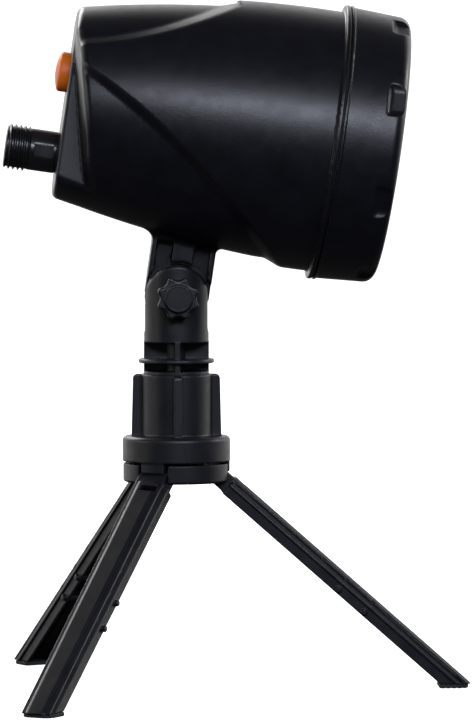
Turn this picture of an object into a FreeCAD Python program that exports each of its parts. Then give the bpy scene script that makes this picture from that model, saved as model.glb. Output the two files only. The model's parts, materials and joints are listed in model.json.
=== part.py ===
"""Outdoor light projector: a round lamp head on a tilting neck, plugged into a folding tripod.

Row frame: +Z up, the head points along +X, the origin is the centre of the bounding box's base.
Head frame: the lamp's own axis is x, and its zero stands over the tilt pivot.
Leg frame: the hinge pin is the zero, x runs down the leg and z out of its face.
"""

import FreeCAD, Part  # FreeCAD has to be imported first
import math
import os
import re
import Sketcher

Vector = FreeCAD.Vector

# Driving dimensions: millimetres and degrees.
DIMENSIONS = {
    # stance of the whole object
    "axis_x": -28.515,
    "pivot_height": 182.5,
    "head_tilt": 8.2,
    "head_rise": 81.0,
    # rear housing
    "rear_face": 64.0,
    "flange_front": 60.5,
    "housing_bow": 560.0,
    "rear_radius": 45.3,
    "front_radius": 57.4,
    "bow_end": 32.0,
    "skin_rear_radius": 47.6,
    "skin_front_radius": 60.5,
    "skin_bow": 500.0,
    "wall": 2.8,
    "flange_radius": 64.0,
    "flange_depth": 2.2,
    "spigot_radius": 57.0,
    "spigot_end": 66.0,
    "cavity_rear": 40.0,
    "cavity_radius": 54.4,
    "block_half_width": 25.0,
    "shoulder_top": 69.0,
    "shoulder_bottom": 43.7,
    "post_place": 25.5,
    "post_radius": 3.2,
    # lug under the housing
    "lug_half_width": 14.7,
    "lug_plate": 6.6,
    "lug_block": 15.0,
    "lug_sweep": 16.2,
    "lug_bore": 3.08,
    # bezel and lens
    "bezel_rear": 61.0,
    "bezel_front": 89.2,
    "bezel_rear_radius": 63.4,
    "bead_radius": 64.0,
    "bead": 1.3,
    "bezel_front_radius": 62.0,
    "bezel_opening": 52.0,
    "bezel_bore": 55.5,
    "lip_radius": 5.0,
    "grip_count": 8,
    "grip_floor": 60.2,
    "grip_half_width": 7.6,
    "grip_rear": 80.0,
    "lens_rear": 83.6,
    "lens_front": 86.2,
    "gasket": 0.6,
    # light engine
    "beam_place": 17.0,
    "board_face": 21.6,
    "sink_rear": 16.0,
    "board_radius": 42.0,
    "plate_front": 68.4,
    "motor_radius": 12.0,
    "spindle_radius": 1.5,
    "disc_rear": 72.0,
    "disc_thickness": 2.6,
    "disc_radius": 50.0,
    # button and power inlet
    "button_height": 14.7,
    "button_radius": 9.2,
    "button_dome": 6.3,
    "inlet_drop": 22.8,
    "inlet_end": 88.4,
    "inlet_radius": 9.65,
    "thread_crest": 10.5,
    "thread_root": 9.5,
    "thread_pitch": 2.2,
    "thread_turns": 5,
    "inlet_tail": 7.0,
    "recess_radius": 7.4,
    "recess_depth": 10.0,
    "contact_radius": 0.8,
    "contact_offset": 2.8,
    # neck
    "neck_radius": 15.0,
    "neck_bottom": 161.4,
    "slot_width": 7.2,
    "slot_drop": 15.8,
    "bolt_radius": 3.0,
    "seat_face": 14.2,
    "hex_flat": 10.0,
    "stub_radius": 15.1,
    "stub_core": 7.0,
    "stub_bottom": 112.3,
    "rib": 2.4,
    "collar_radius": 17.5,
    "collar_top": 153.8,
    "collar_thickness": 1.9,
    "knob_radius": 10.0,
    "knob_lobes": 8,
    "knob_depth": 9.3,
    # tripod hub
    "socket_top": 146.7,
    "socket_radius": 16.4,
    "socket_bore": 15.4,
    "socket_floor": 112.0,
    "fin_top_reach": 20.2,
    "fin_foot_reach": 20.9,
    "fin": 3.5,
    "cap_radius": 25.0,
    "cap_top": 118.0,
    "cap_bottom": 106.3,
    "tab_bottom": 101.5,
    "tab_half_width": 5.8,
    "base_radius": 24.7,
    "base_top": 104.5,
    "base_bottom": 96.7,
    "slot_reach": 12.2,
    "slot_half_width": 7.5,
    # legs
    "leg_lean": 41.4,
    "pin_reach": 17.5,
    "pin_height": 101.0,
    "pin_radius": 1.25,
    "leg_half_width": 8.9,
    "leg_face": 5.0,
    "leg_edge": 4.8,
    "leg_wall": 1.8,
    "leg_start": 8.8,
    "knuckle": 4.2,
    "knuckle_half_width": 7.2,
    "pad_thickness": 1.8,
}

# Each leg by the side it stands on, with its turn about the tripod's axis.
LEGS = {"front": 0, "rear_left": 120, "rear_right": 240}

doc = FreeCAD.newDocument("light_projector")
sheet = doc.addObject("Spreadsheet::Sheet", "dims")
for row, (alias, number) in enumerate(DIMENSIONS.items(), start=1):
    sheet.set(f"A{row}", alias)
    sheet.set(f"B{row}", str(number))
    sheet.setAlias(f"B{row}", alias)
doc.recompute()

nodes = {}


# ---- formulas, placements and sketches ----

def value(formula):
    """The number that a formula of dimension names has now."""
    return float(sheet.evalExpression(str(formula)))


def bind(thing, path, formula):
    """Tie one property of an object to a formula of dimension names."""
    named = re.sub(r"[a-z_]+", lambda word: f"dims.{word[0]}" if word[0] in DIMENSIONS else word[0], str(formula))
    thing.setExpression(path, named)


def step(x=0, y=0, z=0, axis="0; 0; 1", angle=0):
    """One placement, as the text of an expression."""
    return f"placement(vector({x}; {y}; {z}); rotation(vector({axis}); {angle}))"


ALONG_X = step(axis="0; 1; 0", angle=90)
ALONG_Y = step(axis="1; 0; 0", angle=-90)
TRIPOD = step("axis_x")
PIVOT = step("axis_x", 0, "pivot_height")
TILT = step("axis_x", 0, "pivot_height", "0; 1; 0", "head_tilt")
HEAD = f"{TILT} * {step(z='head_rise')}"


def leg_place(turn):
    """The leg frame of the leg that stands at this turn about the tripod's axis."""
    lean = step("pin_reach", 0, "pin_height", "0; 1; 0", "leg_lean")
    return f"{TRIPOD} * {step(angle=turn)} * {lean}"


def keep(label, thing, *places):
    """Register a finished sub-part under its node name and put it in the row frame."""
    if places:
        bind(thing, "Placement", " * ".join(places))
    thing.Label = label
    nodes[label] = thing
    return thing


def new_body(name):
    return doc.addObject("PartDesign::Body", f"{name}_body")


def new_sketch(body, name, plane, offset):
    sketch = body.newObject("Sketcher::SketchObject", name)
    base = next(each for each in body.Origin.OriginFeatures if each.Role == plane)
    sketch.AttachmentSupport = [(base, "")]
    sketch.MapMode = "FlatFace"
    bind(sketch, "AttachmentOffset.Base.z", offset)
    return sketch


def arc_between(start, stop, radius, turn):
    """The short arc from start to stop; turn is 1 when it bends left and -1 when it bends right."""
    if turn < 0:
        start, stop = stop, start
    chord = stop - start
    rise = math.sqrt(max(radius ** 2 - chord.Length ** 2 / 4, 0))
    centre = (start + stop) / 2 + Vector(-chord.y, chord.x, 0) * (rise / chord.Length)
    first = math.atan2(start.y - centre.y, start.x - centre.x)
    last = math.atan2(stop.y - centre.y, stop.x - centre.x)
    if last < first:
        last += 2 * math.pi
    return Part.ArcOfCircle(Part.Circle(centre, Vector(0, 0, 1), radius), first, last)


def outline(body, name, plane, corners, arcs=None, offset=0):
    """A closed outline. Corners are pairs of formulas; arcs gives (radius, turn) by the corner it leaves."""
    arcs = arcs or {}
    sketch = new_sketch(body, name, plane, offset)
    points = [Vector(value(x), value(y), 0) for x, y in corners]
    ends = []
    for number, start in enumerate(points):
        stop = points[(number + 1) % len(points)]
        if number in arcs:
            radius, turn = arcs[number]
            sketch.addGeometry(arc_between(start, stop, value(radius), turn))
            ends.append((1, 2) if turn > 0 else (2, 1))
        else:
            sketch.addGeometry(Part.LineSegment(start, stop))
            ends.append((1, 2))
    for number in range(len(points)):
        after = (number + 1) % len(points)
        sketch.addConstraint(Sketcher.Constraint("Coincident", number, ends[number][1], after, ends[after][0]))
    for number, corner in enumerate(corners):
        for kind, formula in zip(("DistanceX", "DistanceY"), corner):
            fixed = Sketcher.Constraint(kind, -1, 1, number, ends[number][0], value(formula))
            bind(sketch, f"Constraints[{sketch.addConstraint(fixed)}]", formula)
    for number, (radius, _turn) in arcs.items():
        fixed = Sketcher.Constraint("Radius", number, value(radius))
        bind(sketch, f"Constraints[{sketch.addConstraint(fixed)}]", radius)
    return sketch


def circles(body, name, plane, rings, offset=0):
    """Circles given as (x, y, radius) formulas."""
    sketch = new_sketch(body, name, plane, offset)
    for number, (x, y, radius) in enumerate(rings):
        sketch.addGeometry(Part.Circle(Vector(value(x), value(y), 0), Vector(0, 0, 1), value(radius)))
        for kind, formula in (("DistanceX", x), ("DistanceY", y)):
            fixed = Sketcher.Constraint(kind, -1, 1, number, 3, value(formula))
            bind(sketch, f"Constraints[{sketch.addConstraint(fixed)}]", formula)
        fixed = Sketcher.Constraint("Radius", number, value(radius))
        bind(sketch, f"Constraints[{sketch.addConstraint(fixed)}]", radius)
    return sketch


def rectangle(body, name, plane, low, high, offset=0):
    (x0, y0), (x1, y1) = low, high
    return outline(body, name, plane, [(x0, y0), (x1, y0), (x1, y1), (x0, y1)], offset=offset)


def hexagon(across_flats):
    """The corners of a hexagon with two flats parallel to the sketch's x axis."""
    reach = f"{across_flats} / sqrt(3)"
    return [(f"{reach} * cos({turn})", f"{reach} * sin({turn})") for turn in range(0, 360, 60)]


# ---- features ----

def add_feature(body, kind, sketch, name, side="forward"):
    feature = body.newObject(f"PartDesign::{kind}", name)
    feature.Profile = sketch
    if side == "both":
        feature.SideType = "Symmetric"
    return feature


def pad(body, sketch, length, side="forward"):
    """Add material along the sketch's normal, against it (back), or half each way (both)."""
    feature = add_feature(body, "Pad", sketch, f"{sketch.Name}_pad", side)
    feature.Reversed = side == "back"
    bind(feature, "Length", length)
    return feature


def pocket(body, sketch, length, side="back"):
    """Take material away, and make sure that the cut met the solid."""
    doc.recompute()
    before = body.Shape.Volume
    feature = add_feature(body, "Pocket", sketch, f"{sketch.Name}_pocket", side)
    feature.Reversed = side == "forward"
    bind(feature, "Length", length)
    doc.recompute()
    if not feature.Shape.Volume < before - 1e-3:
        raise RuntimeError(f"{feature.Name} cuts nothing")
    return feature


def revolve(body, sketch, axis="X_Axis"):
    feature = add_feature(body, "Revolution", sketch, f"{sketch.Name}_revolution")
    feature.ReferenceAxis = (next(each for each in body.Origin.OriginFeatures if each.Role == axis), [""])
    feature.Angle = 360
    return feature


def groove(body, sketch, axis="X_Axis"):
    doc.recompute()
    before = body.Shape.Volume
    feature = add_feature(body, "Groove", sketch, f"{sketch.Name}_groove")
    feature.ReferenceAxis = (next(each for each in body.Origin.OriginFeatures if each.Role == axis), [""])
    feature.Angle = 360
    doc.recompute()
    if not feature.Shape.Volume < before - 1e-3:
        raise RuntimeError(f"{feature.Name} cuts nothing")
    return feature


def polar(body, features, axis, count):
    """Repeat features evenly around one of the body's axes."""
    pattern = body.newObject("PartDesign::PolarPattern", f"{features[0].Name}_pattern")
    pattern.Originals = features
    pattern.Axis = (next(each for each in body.Origin.OriginFeatures if each.Role == axis), [""])
    pattern.Angle = 360
    bind(pattern, "Occurrences", count)
    body.Tip = pattern
    doc.recompute()
    return pattern


def fillet(body, radius, wanted):
    """Round the edges of the body's present shape that the test accepts."""
    doc.recompute()
    base = body.Tip
    names = [f"Edge{n}" for n, edge in enumerate(base.Shape.Edges, start=1) if wanted(edge)]
    feature = body.newObject("PartDesign::Fillet", f"{base.Name}_fillet")
    feature.Base = (base, names)
    bind(feature, "Radius", radius)
    doc.recompute()
    return feature


def within(edge, low, high):
    """Whether the whole edge lies in the box from low to high."""
    box = edge.BoundBox
    return all((
        box.XMin >= low[0] and box.XMax <= high[0],
        box.YMin >= low[1] and box.YMax <= high[1],
        box.ZMin >= low[2] and box.ZMax <= high[2],
    ))


def cylinder(name, radius, length, *places):
    rod = doc.addObject("Part::Cylinder", name)
    bind(rod, "Radius", radius)
    bind(rod, "Height", length)
    bind(rod, "Placement", " * ".join(places))
    return rod


def group(label, pieces):
    """Separate solids that share one node."""
    together = doc.addObject("Part::Compound", f"{label}_group")
    together.Links = pieces
    return keep(label, together)


def joined(kind, name, first, second):
    result = doc.addObject(f"Part::{kind}", name)
    result.Base = first
    result.Tool = second
    return result


def beams():
    """The four places, round the head's axis, where a lamp and its lens stand."""
    for side in (1, -1):
        for level in (1, -1):
            yield f"{side} * beam_place", f"{level} * beam_place"


def posts():
    for side in (1, -1):
        for level in (1, -1):
            yield f"{side} * post_place", f"{level} * post_place"


# ---- the head ----

def make_rear_housing():
    body = new_body("rear_housing")
    revolve(body, outline(body, "barrel", "XZ_Plane", [
        ("-rear_face", 0), ("-rear_face", "rear_radius"), ("bow_end", "front_radius"),
        ("flange_front", "front_radius"), ("flange_front", "spigot_radius"),
        ("spigot_end", "spigot_radius"), ("spigot_end", 0),
    ], arcs={1: ("housing_bow", -1)}))

    # The raised outer skin covers the front and runs back along each side as a tongue.
    pad(body, outline(body, "skin", "XZ_Plane", [
        (-66, 30), (-60, 31.5), (9, 60), (9, 70), ("flange_front", 70),
        ("flange_front", -70), (44, -70), (44, -64), (-56.2, 15.8), (-62, 19.5),
    ], arcs={1: (187, 1), 7: (310, 1)}), 132, "both")
    groove(body, outline(body, "skin_trim", "XZ_Plane", [
        (-66, "skin_rear_radius - 0.3"), ("flange_front", "skin_front_radius"), ("flange_front", 100), (-66, 100),
    ], arcs={0: ("skin_bow", -1)}))
    revolve(body, outline(body, "flange", "XZ_Plane", [
        ("flange_front - flange_depth", "front_radius"), ("flange_front - flange_depth", "flange_radius - 0.4"),
        ("flange_front - flange_depth + 0.4", "flange_radius"), ("flange_front", "flange_radius"),
        ("flange_front", "front_radius"),
    ]))

    # The barrel ends in a sloping shoulder; only the middle block reaches the rear face.
    for name, side, offset in (("near", "forward", "block_half_width"), ("far", "back", "-block_half_width")):
        pocket(body, outline(body, f"shoulder_{name}", "XZ_Plane", [
            ("-shoulder_top", 60), (-75, 60), (-75, -60), ("-shoulder_bottom", -60),
        ], offset=offset), 45, side)

    # The lug is a thick cored block on a thin plate, which turns between the neck's two ears.
    pad(body, outline(body, "lug_block", "XZ_Plane", [
        (-12, "-head_rise + sqrt(lug_sweep ^ 2 - 144)"), (12, "-head_rise + sqrt(lug_sweep ^ 2 - 144)"),
        (15, -57), (18.5, -50), (-18.5, -50), (-15, -57),
    ], arcs={0: ("lug_sweep", -1)}), "lug_block", "both")
    pad(body, outline(body, "lug_plate", "XZ_Plane", [
        ("-lug_half_width", "-head_rise"), (0, "-head_rise - lug_half_width"), ("lug_half_width", "-head_rise"),
        ("lug_half_width + 0.6", -57), (18.5, -50), (-18.5, -50), ("-lug_half_width - 0.6", -57),
    ], arcs={0: ("lug_half_width", 1), 1: ("lug_half_width", 1)}), "lug_plate", "both")
    for name, side, offset in (("near", "back", "lug_block / 2"), ("far", "forward", "-lug_block / 2")):
        for end, low, high in (("rear", -12.2, -5), ("front", 5, 12.2)):
            pocket(body, rectangle(body, f"lug_core_{name}_{end}", "XZ_Plane", (low, -66), (high, -57.5), offset),
                   4.2, side)
    pocket(body, circles(body, "pivot_bore", "XZ_Plane", [(0, "-head_rise", "lug_bore")]), "lug_block + 2", "both")

    # Inside: one round cavity and a square one behind the rear face.
    groove(body, outline(body, "cavity", "XZ_Plane", [
        ("-cavity_rear", 0), ("-cavity_rear", 46.4), (30, "cavity_radius"), (70, "cavity_radius"), (70, 0),
    ], arcs={1: ("housing_bow", -1)}))
    groove(body, rectangle(body, "skin_cavity", "XZ_Plane", (42, 50), ("flange_front - 3.8", "skin_front_radius - wall")))
    pocket(body, rectangle(body, "block_cavity", "YZ_Plane", (-21, -36), (21, 36), "-cavity_rear"),
           "rear_face - wall - cavity_rear")
    pocket(body, circles(body, "rear_holes", "YZ_Plane", [
        (0, "button_height", "button_radius + 0.4"), (0, "-inlet_drop", "inlet_tail + 0.1"),
    ], "-rear_face + wall"), "wall + 2")
    keep("rear_housing", body, HEAD)


def make_front_bezel():
    body = new_body("front_bezel")
    lip = "bezel_front - lip_radius"
    revolve(body, outline(body, "ring", "XZ_Plane", [
        ("bezel_rear", "bead_radius"), ("bezel_rear + bead", "bead_radius"),
        ("bezel_rear + bead + 0.3", "bezel_rear_radius"), (lip, "bezel_front_radius"),
        ("bezel_front", "bezel_front_radius - lip_radius"), ("bezel_front", "bezel_opening + 1"),
        ("bezel_front - 1", "bezel_opening"), ("lens_front + gasket", "bezel_opening"),
        ("lens_front + gasket", "bezel_bore"), ("plate_front + 0.1", "bezel_bore"),
        ("plate_front + 0.1", "spigot_radius + 0.05"), ("bezel_rear", "spigot_radius + 0.05"),
    ], arcs={3: ("lip_radius", -1)}))
    doc.recompute()
    grip = pocket(body, rectangle(body, "grip", "YZ_Plane", ("grip_floor", "-grip_half_width"),
                                  (66, "grip_half_width"), "grip_rear"), 12, "forward")
    polar(body, [grip], "X_Axis", "grip_count")
    keep("front_bezel", body, HEAD, step(axis="1; 0; 0", angle=22.5))


def make_ring(label, rear, front, inner, outer, *places):
    """A plain ring round the head's axis."""
    body = new_body(label)
    revolve(body, rectangle(body, f"{label}_section", "XZ_Plane", (rear, inner), (front, outer)))
    keep(label, body, *(places or (HEAD,)))


def make_seals_and_lens():
    make_ring("seam_gasket", "flange_front", "bezel_rear", "spigot_radius + 0.1", "bezel_rear_radius - 0.8")
    make_ring("lens_gasket", "lens_front", "lens_front + gasket", "bezel_opening + 0.5", "bezel_bore - 0.2")
    make_ring("lens_retainer", "lens_rear - 2.6", "lens_rear", "bezel_opening + 0.8", "bezel_bore")
    make_ring("inlet_seal", "-rear_face - 0.7", "-rear_face", "inlet_tail + 0.1", "inlet_radius - 0.4",
              HEAD, step(z="-inlet_drop"))
    body = new_body("front_lens")
    revolve(body, outline(body, "lens", "XZ_Plane", [
        ("lens_rear", 0), ("lens_rear", "bezel_bore - 0.1"), ("lens_front", "bezel_bore - 0.1"),
        ("lens_front", "bezel_opening - 1"), ("lens_front + 1.6", 2), ("lens_front + 1.6", 0),
    ], arcs={3: (600, 1)}))
    keep("front_lens", body, HEAD)


def make_light_engine():
    body = new_body("board_standoffs")
    pad(body, circles(body, "standoffs", "YZ_Plane", [(y, z, "post_radius") for y, z in posts()], "-cavity_rear"),
        "cavity_rear + sink_rear")
    pocket(body, circles(body, "standoff_holes", "YZ_Plane", [(y, z, 1.5) for y, z in posts()], "sink_rear"), 10)
    keep("board_standoffs", body, HEAD)

    body = new_body("heat_sink")
    pad(body, circles(body, "sink_plate", "YZ_Plane", [(0, 0, "board_radius")], "sink_rear"), 4)
    fin = pad(body, rectangle(body, "sink_fin", "YZ_Plane", (-22, -20), (-20, 20), "sink_rear"), 20, "back")
    fins = body.newObject("PartDesign::LinearPattern", "sink_fins")
    fins.Originals = [fin]
    fins.Direction = (next(each for each in body.Origin.OriginFeatures if each.Role == "Y_Axis"), [""])
    fins.Length = 42
    fins.Occurrences = 7
    body.Tip = fins
    pocket(body, circles(body, "sink_holes", "YZ_Plane", [(y, z, 1.6) for y, z in posts()], "sink_rear"), 5, "forward")
    keep("heat_sink", body, HEAD)

    body = new_body("led_board")
    pad(body, circles(body, "board", "YZ_Plane",
                      [(0, 0, "board_radius - 1")] + [(y, z, 1.6) for y, z in posts()], "board_face"), 1.6, "back")
    keep("led_board", body, HEAD)

    group("board_screws", [
        joined("Fuse", f"board_screw_{number}",
               cylinder(f"board_screw_head_{number}", 2.9, 2, HEAD, step("board_face", y, z), ALONG_X),
               cylinder(f"board_screw_shank_{number}", 1.45, 13, HEAD, step("board_face - 12", y, z), ALONG_X))
        for number, (y, z) in enumerate(posts())
    ])
    group("leds", [
        cylinder(f"led_{number}", 2.6, 1.5, HEAD, step("board_face", y, z), ALONG_X)
        for number, (y, z) in enumerate(beams())
    ])
    cones = []
    for number, (y, z) in enumerate(beams()):
        cone = doc.addObject("Part::Cone", f"collimator_{number}")
        bind(cone, "Radius1", 4.5)
        bind(cone, "Radius2", 10.5)
        bind(cone, "Height", 12)
        bind(cone, "Placement", f"{HEAD} * {step('board_face + 1.5', y, z)} * {ALONG_X}")
        cones.append(cone)
    group("collimators", cones)

    body = new_body("lens_plate")
    pad(body, circles(body, "plate", "YZ_Plane",
                      [(0, 0, "spigot_radius - 0.4"), (0, 0, 3)] + [(y, z, 10) for y, z in beams()],
                      "plate_front"), "plate_front - spigot_end", "back")
    keep("lens_plate", body, HEAD)

    group("projection_lenses", [
        joined("Common", f"projection_lens_{number}",
               cylinder(f"lens_blank_{number}", 11.4, 6, HEAD, step("spigot_end - 6", y, z), ALONG_X),
               lens_ball(number, y, z))
        for number, (y, z) in enumerate(beams())
    ])


def lens_ball(number, y, z):
    """The sphere whose cap makes a lens 5 mm deep against the lens plate's back."""
    ball = doc.addObject("Part::Sphere", f"lens_ball_{number}")
    bind(ball, "Radius", 18)
    bind(ball, "Placement", f"{HEAD} * {step('spigot_end + 13', y, z)}")
    return ball


def make_pattern_drive():
    body = new_body("drive_motor")
    pad(body, circles(body, "motor_can", "YZ_Plane", [(0, 0, "motor_radius")], "spigot_end - 18"), 18)
    pad(body, circles(body, "motor_tail", "YZ_Plane", [(0, 0, 5)], "spigot_end - 18"), 3, "back")
    pocket(body, circles(body, "motor_bush", "YZ_Plane", [(0, 0, "spindle_radius + 0.06")], "spigot_end"), 9)
    keep("drive_motor", body, HEAD)

    group("disc_spindle", [
        cylinder("spindle_rod", "spindle_radius", "disc_rear + disc_thickness - spigot_end + 9",
                 HEAD, step("spigot_end - 8.5"), ALONG_X)])

    body = new_body("pattern_disc")
    pad(body, circles(body, "disc", "YZ_Plane", [(0, 0, "disc_radius"), (0, 0, "spindle_radius")], "disc_rear"),
        "disc_thickness")
    ridge = pad(body, rectangle(body, "ridge", "YZ_Plane", (-1, 9), (1, 46), "disc_rear + disc_thickness"), 0.8)
    polar(body, [ridge], "X_Axis", 12)
    keep("pattern_disc", body, HEAD)


def make_controls():
    body = new_body("control_board")
    pad(body, rectangle(body, "card", "YZ_Plane", (-19, -6), (19, 34), -50), 1.6)
    keep("control_board", body, HEAD)

    body = new_body("tact_switch")
    pad(body, rectangle(body, "switch_case", "YZ_Plane", (-6, "button_height - 6"), (6, "button_height + 6"), -50),
        3.5, "back")
    pad(body, circles(body, "plunger", "YZ_Plane", [(0, "button_height", 3.4)], -53.5), 1.5, "back")
    keep("tact_switch", body, HEAD)

    body = new_body("push_button")
    rim = "-rear_face - button_dome + 2"
    revolve(body, outline(body, "cap", "XZ_Plane", [
        ("-rear_face - button_dome", 0), ("-rear_face - button_dome", 1),
        (rim, "button_radius - 0.4"), (f"{rim} + 0.7", "button_radius"),
        ("-rear_face + wall + 0.3", "button_radius"), ("-rear_face + wall + 0.3", 11.2),
        ("-rear_face + wall + 1.6", 11.2), ("-rear_face + wall + 1.6", 3), (-57.2, 3), (-57.2, 0),
    ], arcs={1: (24, -1)}))
    keep("push_button", body, HEAD, step(z="button_height"))


def make_power_inlet():
    body = new_body("power_inlet")
    profile = [("-inlet_end + recess_depth", 0), ("-inlet_end + recess_depth", "recess_radius"),
               ("-inlet_end", "recess_radius"), ("-inlet_end", "thread_root")]
    for turn in range(DIMENSIONS["thread_turns"]):
        start = f"-inlet_end + thread_pitch * {turn}"
        profile += [(f"{start} + 0.7", "thread_crest"), (f"{start} + 1.2", "thread_crest"),
                    (f"{start} + 1.9", "thread_root"), (f"{start} + thread_pitch", "thread_root")]
    end = "-inlet_end + thread_pitch * thread_turns"
    profile += [(end, "inlet_radius"), ("-rear_face - 0.7", "inlet_radius"),
                ("-rear_face - 0.7", "inlet_tail"), (-56, "inlet_tail"), (-56, 0)]
    revolve(body, outline(body, "barrel_section", "XZ_Plane", profile))
    contacts = [(f"{side} * contact_offset", 0, "contact_radius") for side in (1, -1)]
    pocket(body, circles(body, "contact_holes", "YZ_Plane", contacts, -56), 26)
    keep("power_inlet", body, HEAD, step(z="-inlet_drop"))

    group("inlet_contacts", [
        cylinder(f"inlet_contact_{number}", "contact_radius", "inlet_end - 2 - 52",
                 HEAD, step("-inlet_end + 2", f"{side} * contact_offset", "-inlet_drop"), ALONG_X)
        for number, side in enumerate((1, -1))
    ])

    body = new_body("inlet_nut")
    pad(body, outline(body, "nut_flats", "YZ_Plane", hexagon(18), offset="-rear_face + wall"), 3.4)
    pocket(body, circles(body, "nut_bore", "YZ_Plane", [(0, 0, "inlet_tail")], "-rear_face + wall"), 5, "forward")
    keep("inlet_nut", body, HEAD, step(z="-inlet_drop"))


def wire_solid(points, radius):
    """A round wire along straight runs joined by tangent arcs."""
    points = [Vector(*point) for point in points]
    runs = [after - before for before, after in zip(points, points[1:])]
    edges = []
    start = points[0]
    for corner, before, after in zip(points[1:-1], runs, runs[1:]):
        turn = before.getAngle(after)
        trim = 0.45 * min(before.Length, after.Length)
        arc_in = corner - Vector(before).normalize() * trim
        arc_out = corner + Vector(after).normalize() * trim
        inward = (Vector(after).normalize() - Vector(before).normalize()).normalize()
        bend = trim / math.tan(turn / 2)
        middle = corner + inward * (bend / math.cos(turn / 2) - bend)
        edges += [Part.LineSegment(start, arc_in).toShape(), Part.Arc(arc_in, middle, arc_out).toShape()]
        start = arc_out
    edges.append(Part.LineSegment(start, points[-1]).toShape())
    path = Part.Wire(edges)
    circle = Part.makeCircle(radius, points[0], runs[0])
    return path.makePipeShell([Part.Wire([circle])], True, False)


def make_wires():
    """Pairs of short internal leads, from the inlet to the control board and on to the LED board."""
    routes = {
        "inlet_wires": lambda y: [(-52, y, -22.8), (-45, y, -22.8), (-45, y, -2), (-48.4, y, -2)],
        "led_wires": lambda y: [(-48.4, 3 * y, 28), (-42, 3 * y, 28), (4, 3 * y, 46), (26, 3 * y, 46),
                                (26, 3 * y, 36), (21.6, 3 * y, 36)],
    }
    for label, route in routes.items():
        leads = doc.addObject("Part::Feature", f"{label}_group")
        pair = [wire_solid(route(y), 0.75) for y in (-2.8, 2.8)]
        leads.Shape = Part.makeCompound(pair)
        keep(label, leads, HEAD)


# ---- the neck ----

def make_neck():
    body = new_body("neck")
    top = "pivot_height + neck_radius"
    pad(body, circles(body, "post", "XY_Plane", [(0, 0, "neck_radius")], "neck_bottom"), f"{top} - neck_bottom")
    pocket(body, outline(body, "ear_round", "XZ_Plane", [
        ("-neck_radius", "pivot_height"), (0, top), ("neck_radius", "pivot_height"), (22, "pivot_height"),
        (22, 210), (-22, 210), (-22, "pivot_height"),
    ], arcs={0: ("neck_radius", -1), 1: ("neck_radius", -1)}), 40, "both")
    pocket(body, rectangle(body, "lug_slot", "YZ_Plane", ("-slot_width / 2", "pivot_height - slot_drop"),
                           ("slot_width / 2", 210)), 40, "both")
    pocket(body, circles(body, "bolt_hole", "XZ_Plane", [(0, "pivot_height", "bolt_radius")]), 40, "both")
    pocket(body, circles(body, "washer_seat", "XZ_Plane", [(0, "pivot_height", 7)], "seat_face"), 5, "forward")
    pocket(body, outline(body, "bolt_seat", "XZ_Plane",
                         [(x, f"pivot_height + {z}") for x, z in hexagon("(hex_flat + 0.2)")],
                         offset="-seat_face + 4"), 8, "back")

    # The stub: crossed ribs on a core, with a stop collar over the socket.
    half = "rib / 2"
    pad(body, outline(body, "stub_ribs", "XY_Plane", [
        ("stub_radius", f"-{half}"), ("stub_radius", half), (half, half), (half, "stub_radius"),
        (f"-{half}", "stub_radius"), (f"-{half}", half), ("-stub_radius", half), ("-stub_radius", f"-{half}"),
        (f"-{half}", f"-{half}"), (f"-{half}", "-stub_radius"), (half, "-stub_radius"), (half, f"-{half}"),
    ], offset="stub_bottom"), "neck_bottom - stub_bottom")
    pad(body, circles(body, "stub_core", "XY_Plane", [(0, 0, "stub_core")], "stub_bottom"),
        "neck_bottom - stub_bottom")
    pad(body, circles(body, "collar", "XY_Plane", [(0, 0, "collar_radius")], "collar_top"),
        "collar_thickness", "back")
    pad(body, circles(body, "stub_foot", "XY_Plane", [(0, 0, "stub_radius")], "stub_bottom"), 2.4)
    pad(body, circles(body, "stub_guide", "XY_Plane", [(0, 0, "stub_radius")], "socket_top + 1.4"), 2, "back")
    keep("neck", body, TRIPOD)


def make_tilt_clamp():
    across = ALONG_Y
    head = new_body("tilt_bolt")
    pad(head, outline(head, "bolt_head", "XY_Plane", hexagon("hex_flat")), 4.2)
    pad(head, circles(head, "bolt_shank", "XY_Plane", [(0, 0, "bolt_radius - 0.02")]), "2 * seat_face + 3.5", "back")
    keep("tilt_bolt", head, PIVOT, step(y="seat_face - 4"), across)

    washer = new_body("knob_washer")
    pad(washer, circles(washer, "washer", "XZ_Plane", [(0, 0, 6.6), (0, 0, "bolt_radius + 0.1")], "seat_face"), 1)
    keep("knob_washer", washer, PIVOT)

    knob = new_body("tilt_knob")
    face = "seat_face + 1.3"
    pad(knob, circles(knob, "knob_disc", "XZ_Plane", [(0, 0, "knob_radius")], face), "knob_depth - 2")
    flute = pocket(knob, circles(knob, "flute", "XZ_Plane", [("knob_radius + 1.5", 0, 3.1)], face),
                   "knob_depth", "forward")
    polar(knob, [flute], "Y_Axis", "knob_lobes")
    pad(knob, circles(knob, "knob_boss", "XZ_Plane", [(0, 0, 6.4)], face), "knob_depth")
    pocket(knob, circles(knob, "knob_bore", "XZ_Plane", [(0, 0, "bolt_radius + 0.05")], face), 7.6, "forward")
    pocket(knob, outline(knob, "nut_pocket", "XZ_Plane", hexagon(9), offset=f"{face} - 0.1"), 3.1, "forward")
    keep("tilt_knob", knob, PIVOT)

    nut = new_body("knob_nut")
    pad(nut, outline(nut, "nut_sides", "XZ_Plane", hexagon(9), offset=face), 3)
    pocket(nut, circles(nut, "nut_thread", "XZ_Plane", [(0, 0, "bolt_radius + 0.05")], face), 4, "forward")
    keep("knob_nut", nut, PIVOT)


# ---- the tripod ----

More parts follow.
